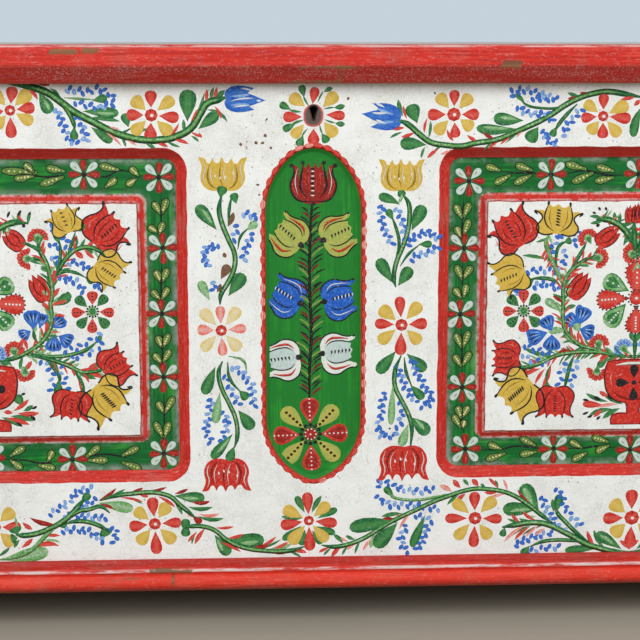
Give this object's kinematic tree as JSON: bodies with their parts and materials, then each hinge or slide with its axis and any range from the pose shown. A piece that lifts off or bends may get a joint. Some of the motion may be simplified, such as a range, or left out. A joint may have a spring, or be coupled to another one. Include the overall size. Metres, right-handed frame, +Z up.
{
  "type": "wedding chest",
  "caption": "Painted softwood blanket chest with framed raised panels, hinged lid with moulded edge, lock, inner till and turned feet.",
  "frame": {"origin": "on the floor, under the centre of the whole chest", "axes": "+X to the right along the front, -Y out of the front, +Z up"},
  "size_m": [1.268, 0.6055, 0.585],
  "materials": {
    "painted_ground": "white ground, worn dry old oil paint",
    "painted_panel": "white field, green channel, red bevels",
    "red_moulding": "worn red paint on softwood",
    "lid_board": "worn greyish white paint",
    "bare_wood": "unpainted softwood, darkened",
    "till_wood": "unpainted planed softwood",
    "foot_wood": "turned, worn red paint",
    "iron": "dark forged iron with brown rust",
    "paint_red": "dry old oil paint",
    "paint_pink": "dry old oil paint",
    "paint_green": "dry old oil paint",
    "paint_leaf": "dry old oil paint",
    "paint_yellow": "dry old oil paint",
    "paint_olive": "dry old oil paint",
    "paint_blue": "dry old oil paint",
    "paint_black": "dry old oil paint",
    "paint_white": "dry old oil paint"
  },
  "bodies": {
    "chest": {"front_top_rail": "painted_ground", "front_bottom_rail": "painted_ground", "front_muntin": "painted_ground", "front_stile_left": "painted_ground", "front_stile_right": "painted_ground", "front_panel_left": "painted_panel", "front_panel_right": "painted_panel", "end_left_front_stile": "painted_ground", "end_left_back_stile": "painted_ground", "end_left_top_rail": "painted_ground", "end_left_bottom_rail": "painted_ground", "end_left_panel": "painted_panel", "end_right_front_stile": "painted_ground", "end_right_back_stile": "painted_ground", "end_right_top_rail": "painted_ground", "end_right_bottom_rail": "painted_ground", "end_right_panel": "painted_panel", "back_board_lower": "bare_wood", "back_board_middle": "bare_wood", "back_board_upper": "bare_wood", "bottom_board_front": "bare_wood", "bottom_board_middle": "bare_wood", "bottom_board_back": "bare_wood", "foot_front_left": "foot_wood", "foot_front_right": "foot_wood", "foot_back_left": "foot_wood", "foot_back_right": "foot_wood", "base_moulding_front": "red_moulding", "base_moulding_left": "red_moulding", "base_moulding_right": "red_moulding", "hinge_leaf_left": "iron", "hinge_pin_left": "iron", "hinge_leaf_right": "iron", "hinge_pin_right": "iron", "keyhole_liner": "iron", "lock_plate": "iron", "lock_cap": "iron", "till_bottom": "till_wood", "till_front": "till_wood", "till_back": "till_wood", "till_side": "till_wood", "till_end": "till_wood", "chest_iron_nails": "iron", "chest_board_nails": "iron"},
    "lid": {"lid_board_front": "lid_board", "lid_board_middle": "lid_board", "lid_board_back": "lid_board", "lid_batten_left": "bare_wood", "lid_batten_right": "bare_wood", "lid_moulding_front": "red_moulding", "lid_moulding_left": "red_moulding", "lid_moulding_right": "red_moulding", "hinge_strap_left": "iron", "hinge_strap_right": "iron", "staple": "iron", "lid_iron_nails": "iron", "lid_board_nails": "iron"},
    "lock_bolt": {"lock_bolt": "iron"},
    "till_lid": {"till_lid": "till_wood"}
  },
  "joints": [
    {"name": "lid_hinge", "type": "hinge", "parent": "chest", "child": "lid", "pos_m": [0, 0.29775, 0.5615], "axis": [-1, 0, 0], "range_deg": [0, 105]},
    {"name": "bolt_slide", "type": "slide", "parent": "chest", "child": "lock_bolt", "axis": [1, 0, 0], "range_m": [0, 0.01]},
    {"name": "till_lid_hinge", "type": "hinge", "parent": "chest", "child": "till_lid", "pos_m": [0.5772, 0, 0.4358], "axis": [0, 1, 0], "range_deg": [0, 88]}
  ]
}
